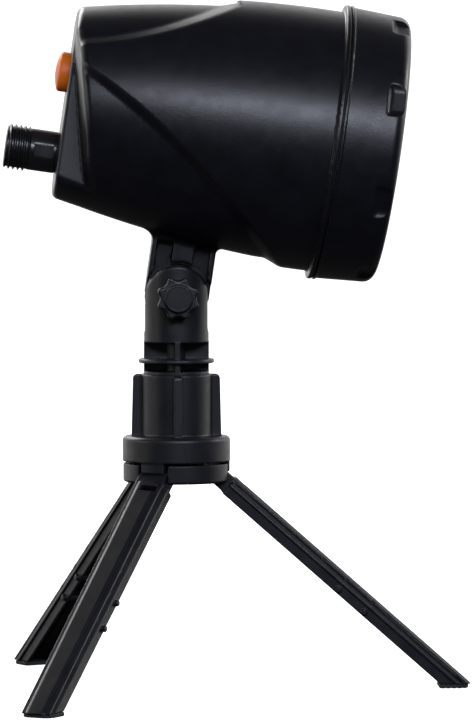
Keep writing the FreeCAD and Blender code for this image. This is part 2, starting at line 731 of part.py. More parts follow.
def make_tripod_socket():
    body = new_body("tripod_socket")
    rounding = 2
    revolve(body, outline(body, "socket_section", "XZ_Plane", [
        (0, "cap_bottom"), ("cap_radius", "cap_bottom"), ("cap_radius", f"cap_top - {rounding}"),
        (f"cap_radius - {rounding}", "cap_top"), ("socket_radius", "cap_top"),
        ("socket_radius", "socket_top - 0.6"), ("socket_radius - 0.5", "socket_top"),
        ("socket_bore", "socket_top"), ("socket_bore", "socket_floor"), (0, "socket_floor"),
    ], arcs={2: (rounding, 1)}), "Z_Axis")
    fin = pad(body, outline(body, "fin", "XZ_Plane", [
        ("socket_bore + 0.4", "cap_top - 1"), ("fin_foot_reach", "cap_top - 1"),
        ("fin_top_reach", "socket_top - 2"), ("fin_top_reach - 2", "socket_top"),
        ("socket_bore + 0.4", "socket_top"),
    ], arcs={2: (2, 1)}), "fin", "both")
    polar(body, [fin], "Z_Axis", 4)
    tab = pad(body, rectangle(body, "tab", "XZ_Plane", ("cap_radius - 3.2", "tab_bottom"),
                              ("cap_radius - 0.2", "cap_bottom + 1")), "2 * tab_half_width", "both")
    polar(body, [tab], "Z_Axis", len(LEGS))
    hole = pocket(body, circles(body, "screw_pilot", "XY_Plane", [(-18.5, 0, 1.5)], "cap_bottom"), 9, "forward")
    polar(body, [hole], "Z_Axis", len(LEGS))
    keep("tripod_socket", body, TRIPOD)


def make_hub_base():
    body = new_body("hub_base")
    revolve(body, outline(body, "base_section", "XZ_Plane", [
        (0, "base_bottom"), ("base_radius - 1.2", "base_bottom"), ("base_radius", "base_bottom + 1.2"),
        ("base_radius", "base_top"), (0, "base_top"),
    ]), "Z_Axis")
    pad(body, circles(body, "base_boss", "XY_Plane", [(0, 0, "slot_reach")], "base_top"), "cap_bottom - base_top")
    boss = pad(body, circles(body, "screw_boss", "XY_Plane", [(-18.5, 0, 4)], "base_top"), "cap_bottom - base_top")
    polar(body, [boss], "Z_Axis", len(LEGS))
    slot = pocket(body, rectangle(body, "leg_slot", "XY_Plane", ("slot_reach", "-slot_half_width"),
                                  (30, "slot_half_width"), 90), 30, "forward")
    polar(body, [slot], "Z_Axis", len(LEGS))
    bore = pocket(body, circles(body, "pin_bore", "XZ_Plane", [("pin_reach", "pin_height", "pin_radius")]), 20, "both")
    polar(body, [bore], "Z_Axis", len(LEGS))
    hole = pocket(body, circles(body, "screw_hole", "XY_Plane", [(-18.5, 0, 1.7)], 90), 30, "forward")
    seat = pocket(body, circles(body, "screw_seat", "XY_Plane", [(-18.5, 0, 3.2)], "base_bottom"), 2.2, "forward")
    polar(body, [hole], "Z_Axis", len(LEGS))
    polar(body, [seat], "Z_Axis", len(LEGS))
    keep("hub_base", body, TRIPOD)


def make_hub_fasteners():
    screws = []
    pins = []
    for side, turn in LEGS.items():
        spot = (TRIPOD, step(angle=f"{turn} + 180"), step(18.5, 0, "base_bottom + 0.3"))
        screws.append(joined("Fuse", f"hub_screw_{side}",
                             cylinder(f"hub_screw_head_{side}", 2.9, 1.9, *spot),
                             cylinder(f"hub_screw_shank_{side}", 1.45, 17, *spot)))
        pins.append(cylinder(f"pin_{side}", "pin_radius", 20, TRIPOD, step(angle=turn),
                             step("pin_reach", -10, "pin_height"), ALONG_Y))
    group("hub_screws", screws)
    group("leg_pins", pins)


def make_leg(side, turn):
    body = new_body(f"leg_{side}")
    half = "leg_half_width"
    inner = "leg_half_width - leg_wall - 0.6"
    bevel = "leg_half_width - 3.3"
    right = [(bevel, "leg_face"), (half, "leg_face - 2.5"), (half, -0.2), (f"{half} - 0.6", -0.2),
             (f"{half} - 0.6", "-leg_edge"), (inner, "-leg_edge"), (inner, "leg_face - 3.7"),
             (f"{bevel} - 1", "leg_face - leg_wall")]
    left = [(f"-({y})", z) for y, z in reversed(right)]
    pad(body, outline(body, f"channel_{side}", "YZ_Plane", right + left, offset="leg_start"), 165)

    # The knuckle turns on the pin and fills the channel's top end.
    pad(body, outline(body, f"knuckle_{side}", "XZ_Plane", [
        (0, "-knuckle"), ("leg_start + 2", "-leg_edge + 0.6"), ("leg_start + 2", "leg_face - 1"),
        ("leg_start", 3), (2.94, 3), ("-knuckle", 0),
    ], arcs={4: ("knuckle", 1), 5: ("knuckle", 1)}), "2 * knuckle_half_width", "both")
    pocket(body, circles(body, f"bore_{side}", "XZ_Plane", [(0, 0, "pin_radius + 0.06")]), 24, "both")
    pad(body, rectangle(body, f"top_wall_{side}", "YZ_Plane", (f"-({inner}) - 0.1", "-leg_edge + 0.4"),
                        (f"{inner} + 0.1", "leg_face - 1"), "leg_start"), 1.6)
    pad(body, rectangle(body, f"web_{side}", "YZ_Plane", (f"-({inner}) - 0.1", "-leg_edge + 1"),
                        (f"{inner} + 0.1", "leg_face - 1"), 64), 1.3)
    for number, place in enumerate((79, 95)):
        pad(body, circles(body, f"nub_{number}_{side}", "XZ_Plane", [(place, -3, 1.5)]), f"2 * {half} + 1.2", "both")
    pocket(body, rectangle(body, f"latch_{side}", "XY_Plane", ("leg_start + 4.2", 1), ("leg_start + 6.2", 5.6), 0),
           12, "forward")

    # The foot is cut level, a pad's thickness above the ground.
    reach = "(pin_height - pad_thickness + {0} * cos(leg_lean)) / sin(leg_lean)"
    pocket(body, outline(body, f"foot_cut_{side}", "XZ_Plane", [
        (reach.format(-9), -9), (190, -9), (190, 9), (reach.format(9), 9),
    ]), 30, "both")
    keep(f"leg_{side}", body, leg_place(turn))


def make_foot(side, turn):
    """A flat shoe under the leg's level end, with its outer end rounded."""
    body = new_body(f"foot_{side}")
    pad(body, outline(body, f"shoe_{side}", "XY_Plane", [
        (122.2, -6.8), (123.4, -8), (131, -8), (136, -3), (136, 3), (131, 8), (123.4, 8), (122.2, 6.8),
    ], arcs={2: (5, 1), 4: (5, 1)}), "pad_thickness")
    fillet(body, 0.6, lambda edge: within(edge, (100, -20, -0.1), (150, 20, 0.1)))
    keep(f"foot_{side}", body, TRIPOD, step(angle=turn))


def check_and_write():
    doc.recompute()
    for thing in doc.Objects:
        if "Invalid" in thing.State or "Error" in thing.State:
            raise RuntimeError(f"{thing.Name} is {thing.State}")
    os.makedirs("parts", exist_ok=True)
    for label, thing in nodes.items():
        shape = thing.Shape
        if shape.isNull() or not shape.isValid() or not shape.Solids:
            raise RuntimeError(f"{label} has no valid shape")
        shape.exportStep(f"parts/{label}.step")
        print(f"{label}: {len(shape.Solids)} solid(s), {shape.Volume / 1000:.2f} cm3")


make_rear_housing()
make_front_bezel()
make_seals_and_lens()
make_light_engine()
make_pattern_drive()
make_controls()
make_power_inlet()
make_wires()
make_neck()
make_tilt_clamp()
make_tripod_socket()
make_hub_base()
make_hub_fasteners()
for side, turn in LEGS.items():
    make_leg(side, turn)
    make_foot(side, turn)
check_and_write()
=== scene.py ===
"""Looks of an outdoor light projector on a folding tripod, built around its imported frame.

The moulded parts that are seen are described by distance fields: a function that is negative inside the
part, zero on its surface and positive outside, in millimetres. A field is contoured into a mesh, and its
slope gives the normals. The other CAD nodes stay as they are and only get a material.
"""

import json
import math

import bpy
import numpy as np
from mathutils import Matrix, Vector


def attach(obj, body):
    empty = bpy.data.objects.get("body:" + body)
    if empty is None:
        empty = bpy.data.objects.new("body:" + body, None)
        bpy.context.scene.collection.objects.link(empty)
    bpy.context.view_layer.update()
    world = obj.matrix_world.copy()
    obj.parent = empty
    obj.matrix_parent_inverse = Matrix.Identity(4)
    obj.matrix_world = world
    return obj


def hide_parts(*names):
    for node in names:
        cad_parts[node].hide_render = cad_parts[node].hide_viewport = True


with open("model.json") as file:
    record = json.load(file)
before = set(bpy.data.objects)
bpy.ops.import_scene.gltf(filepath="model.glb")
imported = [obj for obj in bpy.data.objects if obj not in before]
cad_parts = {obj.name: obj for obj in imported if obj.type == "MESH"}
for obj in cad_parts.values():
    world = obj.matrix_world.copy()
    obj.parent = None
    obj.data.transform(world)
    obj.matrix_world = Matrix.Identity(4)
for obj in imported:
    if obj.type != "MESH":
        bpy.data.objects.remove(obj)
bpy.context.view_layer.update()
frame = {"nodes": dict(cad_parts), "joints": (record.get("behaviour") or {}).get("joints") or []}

MM = 0.001
BLOCK = 8                 # grid nodes along the side of one coarse block
SLOPE_REACH = 0.02        # half the distance over which a field's slope is measured
PLANE_SLACK = 0.06        # pull towards a cell's middle where its planes leave the vertex free
BREAK_COSINE = math.cos(math.radians(28))   # a bend sharper than this is shaded as an edge

JOINTS = {joint["name"]: joint for joint in frame["joints"]}
PIVOT = Vector(JOINTS["head_tilt"]["pos_m"])
HEAD_AXIS = Vector(JOINTS["pattern_spin"]["axis"])
HEAD_TILT = math.atan2(-HEAD_AXIS.z, HEAD_AXIS.x)
PIVOT_HEIGHT = PIVOT.z / MM
HEAD_RISE = 81.0          # the lamp's axis over the tilt pivot
BUTTON_HEIGHT = 14.7      # the button's axis over the lamp's
INLET_HEIGHT = -22.8
LEG_LEAN = 41.4           # degrees below the level
PIN_HEIGHT = 101.0        # hinge pins over the floor
PIN_REACH = 17.5          # hinge pins from the tripod's axis
PAD_THICKNESS = 1.8
LEGS = {"front": 0, "rear_left": 120, "rear_right": 240}

TRIPOD = Matrix.Translation((PIVOT.x, 0, 0))
TILT = Matrix.Translation(PIVOT) @ Matrix.Rotation(HEAD_TILT, 4, "Y")
HEAD = TILT @ Matrix.Translation((0, 0, HEAD_RISE * MM))


# ---- distance fields ----

def both(a, b, r=0.0):
    """Inside a and inside b, with the edge between them rounded to radius r."""
    return np.minimum(np.maximum(a, b), -r) + np.hypot(np.maximum(a + r, 0), np.maximum(b + r, 0))


def either(a, b, r=0.0):
    """Inside a or b, with the corner between them filled to radius r."""
    return -both(-a, -b, r)


def less(a, b, r=0.0):
    """Inside a with b cut away, with the edge rounded to radius r."""
    return both(a, -b, r)


def between(value, low, high):
    """Inside the slab from low to high."""
    return np.maximum(low - value, value - high)


def bow(x, start, end, radius):
    """Height of a shallow arc that bulges up between two points, and goes on past them.

    A negative radius makes it sag.
    """
    (x0, y0), (x1, y1) = start, end
    t = (x - x0) / (x1 - x0)
    chord = math.hypot(x1 - x0, y1 - y0)
    return y0 + (y1 - y0) * t + chord ** 2 / (2 * radius) * t * (1 - t)


def box_field(x, y, z, low, high, r):
    """A box from corner low to corner high, with its edges rounded to radius r."""
    inside_x = between(x, low[0], high[0])
    inside_y = between(y, low[1], high[1])
    inside_z = between(z, low[2], high[2])
    return both(both(inside_x, inside_y, r), inside_z, r)


def sector(a, b, count, first=0.0):
    """Coordinates (out, across) of points (a, b) seen from the nearest of count equal directions."""
    part = 2 * math.pi / count
    angle = np.arctan2(b, a) - first
    angle = (angle + part / 2) % part - part / 2
    reach = np.hypot(a, b)
    return reach * np.cos(angle), reach * np.sin(angle)


def hexagon(a, b, across_flats):
    """A hexagonal prism along the axis that a and b stand across."""
    out, _across = sector(a, b, 6, math.pi / 2)
    return out - across_flats / 2


# ---- contouring a field ----

def slope(field, points):
    """Unit normals of a field at points."""
    parts = []
    for axis in np.eye(3) * SLOPE_REACH:
        ahead, behind = points + axis, points - axis
        parts.append(field(*ahead.T) - field(*behind.T))
    normals = np.stack(parts, 1)
    return normals / np.maximum(np.linalg.norm(normals, axis=1, keepdims=True), 1e-9)


def sample(field, low, high, step):
    """The field on a grid of nodes, worked out in full only in the blocks near the surface."""
    counts = [int(math.ceil((end - start) / step / BLOCK)) for start, end in zip(low, high)]
    axes = [start + step * np.arange(count * BLOCK) for start, count in zip(low, counts)]
    middles = [axis.reshape(-1, BLOCK).mean(1) for axis in axes]
    coarse = field(*np.meshgrid(*middles, indexing="ij"))
    values = coarse.repeat(BLOCK, 0).repeat(BLOCK, 1).repeat(BLOCK, 2)
    block_reach = BLOCK * step * 1.15     # more than from a block's middle to its corner
    near = np.nonzero(np.abs(values) < block_reach)
    values[near] = field(*(axis[index] for axis, index in zip(axes, near)))
    return values


def contour(field, low, high, step):
    """Vertices and quads of the surface: one vertex in each cell of the grid that the surface crosses."""
    low = np.array(low, float) - 2 * step
    high = np.array(high, float) + 3 * step
    values = sample(field, low, high, step)
    inside = values < 0
    shape = np.array(values.shape)
    strides = np.array([shape[1] * shape[2], shape[2], 1])
    quads, points, owners = [], [], []
    for axis in range(3):
        second, third = (axis + 1) % 3, (axis + 2) % 3
        ahead = np.take(inside, range(1, shape[axis]), axis)
        here = np.take(inside, range(shape[axis] - 1), axis)
        node = np.stack(np.nonzero(ahead != here), 1)
        along = np.eye(3, dtype=int)[axis]
        start, stop = values[tuple(node.T)], values[tuple((node + along).T)]
        crossing = node + (start / (start - stop))[:, None] * along
        turns = []
        for back_second, back_third in ((1, 1), (0, 1), (0, 0), (1, 0)):
            cell = node.copy()
            cell[:, second] -= back_second
            cell[:, third] -= back_third
            turns.append(cell @ strides)
        quad = np.stack(turns, 1)
        outward = inside[tuple(node.T)]
        quads.append(np.where(outward[:, None], quad, quad[:, ::-1]))
        points.append(np.repeat(low + step * crossing, 4, 0))
        owners.append(quad.ravel())
    cells, owner = np.unique(np.concatenate(owners), return_inverse=True)
    faces = np.searchsorted(cells, np.concatenate(quads))
    points = np.concatenate(points)
    return settle(field, points, owner, len(cells), step), faces


def settle(field, points, owner, count, step):
    """The point of each cell nearest to all the planes that touch the surface where it crosses the cell."""
    normals = slope(field, points[::4]).repeat(4, 0)
    weight = np.bincount(owner, minlength=count)
    middle = np.stack([np.bincount(owner, points[:, i], count) for i in range(3)], 1) / weight[:, None]
    offset = np.einsum("ij,ij->i", normals, points - middle[owner])
    matrix = np.zeros((count, 3, 3))
    side = np.zeros((count, 3))
    for i in range(3):
        side[:, i] = np.bincount(owner, normals[:, i] * offset, count)
        for j in range(3):
            matrix[:, i, j] = np.bincount(owner, normals[:, i] * normals[:, j], count)
    matrix += PLANE_SLACK * np.eye(3)
    shift = np.linalg.solve(matrix, side[:, :, None])[:, :, 0]
    vertices = middle + np.clip(shift, -step, step)
    for _ in range(2):
        away = np.clip(field(*vertices.T), -step / 2, step / 2)
        vertices = vertices - away[:, None] * slope(field, vertices)
    return vertices


def to_mesh(name, vertices, faces):
    mesh = bpy.data.meshes.new(name)
    mesh.from_pydata(vertices.tolist(), [], faces.tolist())
    return mesh


def thinned(vertices, faces, share):
    """Vertices and triangles of the same surface, with a share of the triangles, kept where it bends."""
    mesh = to_mesh("draft", vertices, faces)
    draft = bpy.data.objects.new("draft", mesh)
    bpy.context.scene.collection.objects.link(draft)
    modifier = draft.modifiers.new("Thin", "DECIMATE")
    modifier.ratio = share
    result = draft.evaluated_get(bpy.context.evaluated_depsgraph_get()).to_mesh()
    corners = np.zeros(len(result.vertices) * 3)
    result.vertices.foreach_get("co", corners)
    result.calc_loop_triangles()
    triangles = np.zeros(len(result.loop_triangles) * 3, int)
    result.loop_triangles.foreach_get("vertices", triangles)
    bpy.data.objects.remove(draft)
    bpy.data.meshes.remove(mesh)
    return corners.reshape(-1, 3), triangles.reshape(-1, 3)


def corner_normals(field, vertices, faces, step):
    """A normal for each face corner: the vertex's own or, at an edge, that of the face's side of it."""
    own = slope(field, vertices)[faces]
    middles = vertices[faces].mean(1, keepdims=True)
    inward = middles - vertices[faces]
    inward *= 0.4 * step / np.maximum(np.linalg.norm(inward, axis=2, keepdims=True), 1e-6)
    aside = slope(field, (vertices[faces] + inward).reshape(-1, 3)).reshape(own.shape)
    broken = np.einsum("ijk,ijk->ij", own, aside) < BREAK_COSINE
    return np.where(broken[:, :, None], aside, own)


def moulded(field, low, high, step, share=0.5):
    """A part's mesh data in its own frame, in millimetres: vertices, faces and corner normals."""
    vertices, faces = contour(field, low, high, step)
    vertices, faces = thinned(vertices, faces, share)
    return vertices, faces, corner_normals(field, vertices, faces, step)


def place(name, made, placement, body, nodes, material):
    """Put a part's mesh in the row frame on its body, in place of CAD nodes."""
    vertices, faces, normals = made
    turn = np.array(placement.to_3x3())
    mesh = to_mesh(name, vertices * MM @ turn.T + np.array(placement.translation), faces)
    mesh.polygons.foreach_set("use_smooth", np.ones(len(mesh.polygons), bool))
    mesh.normals_split_custom_set((normals @ turn.T).reshape(-1, 3).tolist())
    piece = bpy.data.objects.new(name, mesh)
    bpy.context.scene.collection.objects.link(piece)
    mesh.materials.append(material)
    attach(piece, body)
    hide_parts(*nodes)


# ---- the head's shapes, in its own frame: x forward along the lamp's axis, z up ----

REAR_FACE = -64.0
BLOCK_HALF = 25.0         # half width of the flat middle of the rear
BLOCK_DRAFT = 0.08        # and how much it narrows upwards
FLANGE_RADIUS = 64.0
FLANGE_FRONT = 60.5
FLANGE_DEPTH = 2.2
SPIGOT_RADIUS = 57.0      # the housing's sleeve inside the bezel
SPIGOT_END = 66.0
CAVITY_REAR = -40.0
BEZEL_REAR = 61.0
BEZEL_FRONT = 89.2
BEAD = 1.3                # length of the bead at the bezel's rear edge
LENS_SEAT = 86.8
GRIPS = 8


def barrel_radius(x):
    """The housing's own surface: a shallow bow that runs out into a cylinder."""
    return np.minimum(bow(x, (-64, 45.3), (32, 57.4), 560), 57.4)


def skin_radius(x):
    """The raised skin that lies over the barrel's sides."""
    return bow(x, (-66, 47.3), (61, 60.5), 500)


def tongue(x, z):
    """Distance, seen from the side, out of the raised skin's outline, a tongue that narrows to the rear."""
    crest = 9                                   # ahead of it the skin reaches over the top
    far_inside = -20
    upper_steepness, lower_steepness = 1.1, 1.28
    upper = z - bow(x, (-60, 31.5), (crest, 60), -187)
    lower = bow(x, (-53.5, 14.0), (44, -64), 310) - z
    upper = np.where(x > crest, far_inside, upper / upper_steepness)
    return both(upper, lower / lower_steepness)


def shoulder(x, y, z):
    """Distance behind the slanted face that runs from the middle block out to the barrel's rear edge."""
    crease = -61 - 0.19 * (z - 13.7)            # x where the face meets the block, leaning with height
    edge = -59.5 - 0.21 * (z - 15) + 0.7        # and where it meets the barrel
    rim, least_width = 46, 29
    width = np.sqrt(np.maximum(rim ** 2 - z ** 2, least_width ** 2))
    out = np.clip((np.abs(y) - BLOCK_HALF) / (width - BLOCK_HALF), 0, 1.3)
    steepness = 0.9
    return (crease + (edge - crease) * out - x) * steepness


def lug_field(x, y, z):
    """The cored block under the barrel and the plate that turns between the neck's ears."""
    half_length, block_half, web, rim = 15.0, 7.5, 1.5, 3.3
    sweep, plate_end = 16.4, 14.7               # radii round the pivot
    block_bottom, pocket_bottom, pocket_top, top = -78, -72, -55.5, -46
    reach = np.hypot(x, z + HEAD_RISE)
    flare = np.maximum(z + 57, 0) ** 2 / 14
    side = np.abs(x) - (half_length + flare)
    block = both(both(np.abs(y) - block_half, side, 0.8), sweep - reach, 0.6)
    block = both(block, block_bottom - z)
    pockets = both(between(np.abs(x), 5.0, 12.6), between(z, pocket_bottom, pocket_top), 0.8)
    block = less(block, both(pockets, web - np.abs(y)), 0.4)
    thickness = np.where(z > pocket_bottom, web, rim)
    end = np.where(z > -HEAD_RISE, side, reach - plate_end)
    plate = both(np.abs(y) - thickness, both(side, end), 0.5)
    return both(either(block, plate, 0.2), z - top)


def housing_field(x, y, z):
    """The barrel with its raised skin, cut off slanting at the rear, with a flange, a lug and its hollows."""
    around = np.hypot(y, z)
    most_lift = 1.9                             # how far the underside is drawn in at the rear
    lift = np.clip(-z / 46, 0, 1) ** 3 * np.clip((34 - x) / 84, 0, 1.2) * most_lift
    rise = around + lift - barrel_radius(x)
    barrel = both(rise, x - FLANGE_FRONT)
    ramp = (tongue(x, z) + 1.1 * rise) / 1.49   # the skin's edge slopes down to the barrel
    skin = both(both(around - skin_radius(x), ramp, 0.6), x - FLANGE_FRONT)
    shell = either(barrel, skin, 0.5)
    flank = np.abs(y) - BLOCK_HALF + BLOCK_DRAFT * z
    back = both(either(flank, shoulder(x, y, z), 0.6), REAR_FACE - x, 1.5)
    shell = both(shell, back, 2.7)
    flange = both(around - FLANGE_RADIUS, between(x, FLANGE_FRONT - FLANGE_DEPTH, FLANGE_FRONT), 0.7)
    shell = either(shell, flange, 0.8)
    shell = either(shell, lug_field(x, y, z), 3.2)
    shell = either(shell, both(around - SPIGOT_RADIUS, between(x, 50, SPIGOT_END)))
    cavity_radius = np.minimum(bow(x, (CAVITY_REAR, 46.4), (30, 54.4), 560), 54.4)
    shell = less(shell, both(around - cavity_radius, CAVITY_REAR - x, 2))
    rear_room = box_field(x, y, z, (-61.2, -19.5, -36), (-38, 19.5, 36), 2)
    shell = less(shell, rear_room)
    button_hole = np.hypot(y, z - BUTTON_HEIGHT) - 9.6
    inlet_hole = both(np.hypot(y, z - INLET_HEIGHT) - 7.1, x + 50)
    return less(less(shell, button_hole, 0.4), inlet_hole)


def bezel_field(x, y, z):
    """A ring with a bead at its rear edge and finger grips cut in its rounded front edge."""
    lip, bead_inner = 5.0, 60
    grip_floor, grip_half, grip_rear = 60, 6.2, 81.4
    around = np.hypot(y, z)
    outer = 63.4 - (x - BEZEL_REAR) * 1.4 / 23.2
    ring = both(both(around - outer, x - BEZEL_FRONT, lip), BEZEL_REAR - x, 0.4)
    bead = both(around - FLANGE_RADIUS, between(x, BEZEL_REAR, BEZEL_REAR + BEAD), 0.4)
    ring = either(ring, both(bead, bead_inner - around), 0.4)
    out, across = sector(y, z, GRIPS, math.pi / GRIPS)
    height = out - grip_floor
    sides = (np.abs(across) - grip_half - 0.9 * height) * 0.74
    rear = (grip_rear - 0.7 * height - x) * 0.82
    grip = both(both(-height, sides, 1.5), rear, 1.5)
    ring = less(ring, grip, 0.5)
    window = around - 52
    lens_bore = both(around - 55.5, x - LENS_SEAT)
    spigot_bore = both(around - 57.05, x - 68.5)
    return less(less(less(ring, window, 0.9), lens_bore), spigot_bore)


def button_field(x, y, z):
    """A domed cap with a flange behind the housing's wall and a stem for the switch."""
    around = np.hypot(y, z)
    cap_rear = -60.9
    dome = np.hypot(np.hypot(x + 46.3, y), z) - 24
    cap = both(both(around - 9.2, dome, 0.9), x - cap_rear)
    flange = both(around - 11.2, between(x, cap_rear, -59.6), 0.3)
    stem = both(around - 3, between(x, -60.5, -57.2))
    return either(either(cap, flange), stem)


def inlet_field(x, y, z):
    """A threaded barrel with a round recess for the lead's plug."""
    around = np.hypot(y, z)
    end, core, pitch, turns, crest_height = -88.4, 9.4, 2.2, 5, 1.1
    phase = ((x - end) / pitch - np.arctan2(z, y) / (2 * math.pi)) % 1
    crest = np.clip((0.5 - np.abs(phase - 0.5)) * 3.2 - 0.35, 0, 1)
    run_out, run_in = (end + pitch * turns + 0.4 - x) / 1.0, (x - end) / 1.2
    fade = np.clip(run_out, 0, 1) * np.clip(run_in, 0, 1)
    thread = (around - core - crest_height * crest * fade) * 0.75
    barrel = both(both(thread, x - end - pitch * turns - 0.4), end - x, 0.5)
    smooth = both(around - 9.65, between(x, -77.0, -64.7), 0.25)
    flats = both(9.1 - np.abs(y), between(x, -75, -66.2), 0.2)
    smooth = less(smooth, flats, 0.2)
    tail = both(around - 7, between(x, -66, -56), 0.3)
    whole = either(either(barrel, smooth), tail)
    recess = both(around - 7.4, x + 78.4, 0.5)
    whole = less(whole, recess, 0.4)
    contact_holes = np.hypot(np.abs(y) - 2.8, z) - 0.8
    return less(whole, contact_holes)


# ---- the neck, in the tripod's frame ----

NECK_RADIUS = 15.0
POST_BOTTOM = 161.4
SLOT_HALF = 3.6
SLOT_BOTTOM = 166.7
STUB_RADIUS = 15.1
STUB_BOTTOM = 112.3


def neck_field(x, y, z):
    """A round post with two domed ears, over a stub of crossed ribs with a stop collar and two discs."""
    around = np.hypot(x, y)
    over = z - PIVOT_HEIGHT
    from_pivot = np.hypot(x, over)
    dome = np.where(over > 0, from_pivot, np.abs(x)) - NECK_RADIUS
    rounding = 1.6 * np.clip(over / 8, 0, 1)
    post = both(both(around - NECK_RADIUS, dome, rounding), POST_BOTTOM - z, 0.5)
    slot = both(np.abs(y) - SLOT_HALF, SLOT_BOTTOM - z, 2)
    washer_seat = both(from_pivot - 7, y + 14.2)
    bolt_pocket = both(hexagon(x, over, 10.2), 10.2 - y)
    bolt_hole = from_pivot - 3.0
    post = less(less(post, slot, 0.6), washer_seat, 0.3)
    post = less(less(post, bolt_pocket), bolt_hole)
    height = between(z, STUB_BOTTOM, 162)
    ribs = np.minimum(np.abs(x), np.abs(y)) - 1.2
    core = both(around - 4.0, height)
    collar = both(around - 17.5, between(z, 151.9, 153.8), 0.6)
    stub = both(both(ribs, around - STUB_RADIUS, 0.3), height, 0.2)
    stub = either(either(stub, core, 0.6), collar, 0.3)
    for low, high in ((146.1, 148.1), (STUB_BOTTOM, 114.7)):
        stub = either(stub, both(around - STUB_RADIUS, between(z, low, high), 0.3), 0.2)
    return either(post, stub, 0.3)


def knob_field(x, y, z):
    """Eight soft lobes with a raised face; its back stands a washer off the ear."""
    over = z - PIVOT_HEIGHT
    back = -15.5
    front = back - 9.3
    out, across = sector(x, over, 8)
    around = np.hypot(x, over)
    body = both(around - 10, between(y, front + 2, back), 0.9)
    flute = np.hypot(out - 11.5, across) - 3.1
    body = less(body, flute, 1.2)
    boss = both(around - 6.4, between(y, front, back), 0.5)
    dish = both(around - 5.4, y - (front + 0.3))
    knob = less(either(body, boss, 0.6), dish, 0.15)
    bolt_hole = both(around - 3.05, back - 7.6 - y)
    nut_pocket = both(hexagon(x, over, 9), back - 3 - y)
    return less(less(knob, bolt_hole), nut_pocket)


# ---- the tripod, x out along its front leg ----

SOCKET_TOP = 146.7
CAP_BOTTOM = 106.3


def socket_field(x, y, z):
    """A finned sleeve on a round cap, with a tab over each leg."""
    fins, floor, tab_bottom = 4, 112, 101.5
    around = np.hypot(x, y)
    cap = both(both(around - 25, z - 118, 2), CAP_BOTTOM - z, 0.5)
    tube = both(both(around - 16.4, z - SOCKET_TOP, 0.6), 110 - z)
    whole = either(cap, tube, 0.8)
    out, across = sector(x, y, fins)
    reach = 20.9 - (z - 117) * 0.7 / 28
    fin = both(both(both(out - reach, z - SOCKET_TOP, 2), np.abs(across) - 1.75, 0.5), floor - z)
    fin = both(fin, 13 - out)
    whole = either(whole, fin, 0.5)
    bore = both(around - 15.4, floor - z, 0.5)
    whole = less(whole, bore, 0.4)
    _out, across = sector(x, y, len(LEGS))
    tab = both(both(between(around, 21.8, 24.8), np.abs(across) - 5.8, 0.5), tab_bottom - z, 0.5)
    return either(whole, both(tab, z - 108), 0.3)


def hub_field(x, y, z):
    """The lower disc: bosses up to the cap, three leg slots, screw holes and bores for the hinge pins."""
    around = np.hypot(x, y)
    base = both(both(around - 24.7, 96.7 - z, 1.3), z - 105.3, 0.4)
    boss_height = between(z, 100, CAP_BOTTOM)
    base = either(base, both(around - 12.2, boss_height))
    screw_out, screw_across = sector(x, y, len(LEGS), math.pi)
    screw = np.hypot(screw_out - 18.5, screw_across)
    base = either(base, both(screw - 4, boss_height))
    out, across = sector(x, y, len(LEGS))
    slot = both(np.abs(across) - 7.5, 12.2 - out, 0.5)
    screw_head = both(screw - 3.2, z - 98.9)
    base = less(less(less(base, slot, 0.5), screw - 1.7), screw_head, 0.3)
    pin = np.hypot(out - PIN_REACH, z - PIN_HEIGHT) - 1.25
    return less(base, both(pin, np.abs(across) - 10))


def leg_field(x, y, z):
    """A channel with bevelled shoulders and a step along each wall, hung on its knuckle and cut level."""
    side = np.abs(y)
    start, edge, ceiling, crown = 8.8, -4.8, 3.2, 5.0
    wall, step = 2.4, 0.9
    slant, rise = 0.635, 0.773                  # the shoulder bevel's normal
    half = 9.4 - 0.008 * x
    ridge = half * 0.47
    bevel = (side - ridge) * slant + (z - crown) * rise
    outer = both(both(both(side - half, bevel, 0.5), z - crown, 0.3), edge - z, 0.4)
    outer = less(outer, both(half - step - side, z + 0.2), 0.3)
    inner_bevel = (side - ridge + 1) * slant + (z - ceiling) * rise
    inner = both(both(side - half + wall, inner_bevel, 0.5), z - ceiling)
    channel = both(less(outer, inner, 0.4), start - x, 0.6)
    knuckle_radius = 4.2
    barrel = np.where(x < 0, np.hypot(x, z) - knuckle_radius, between(z, -knuckle_radius, knuckle_radius))
    knuckle = both(side - 7.2, barrel, 0.4)
    knuckle = both(knuckle, np.where(z > 3, 2.94 - x, x - 10.8))    # its crown starts past the pin
    whole = either(channel, knuckle, 0.4)
    nubs = (79, 95)
    for at in (start + 0.8, 64.6, *nubs):
        rib = both(both(np.abs(x - at) - 0.8, side - 7), between(z, -knuckle_radius, 4))
        whole = either(whole, rib, 0.4)
    for at in nubs:
        nub = both(np.hypot(x - at, z + 3) - 1.5, side - 9.5, 0.5)
        whole = either(whole, nub, 0.4)
    latch = both(between(x, 11.8, 15.2), between(y, -2.6, 5.6), 0.5)
    whole = less(whole, both(latch, -z), 0.3)
    pin_bore = both(np.hypot(x, z) - 1.31, side - 12)
    whole = less(whole, pin_bore)
    lean = math.radians(LEG_LEAN)
    drop = x * math.sin(lean) - z * math.cos(lean)
    return both(whole, drop - (PIN_HEIGHT - PAD_THICKNESS), 0.5)


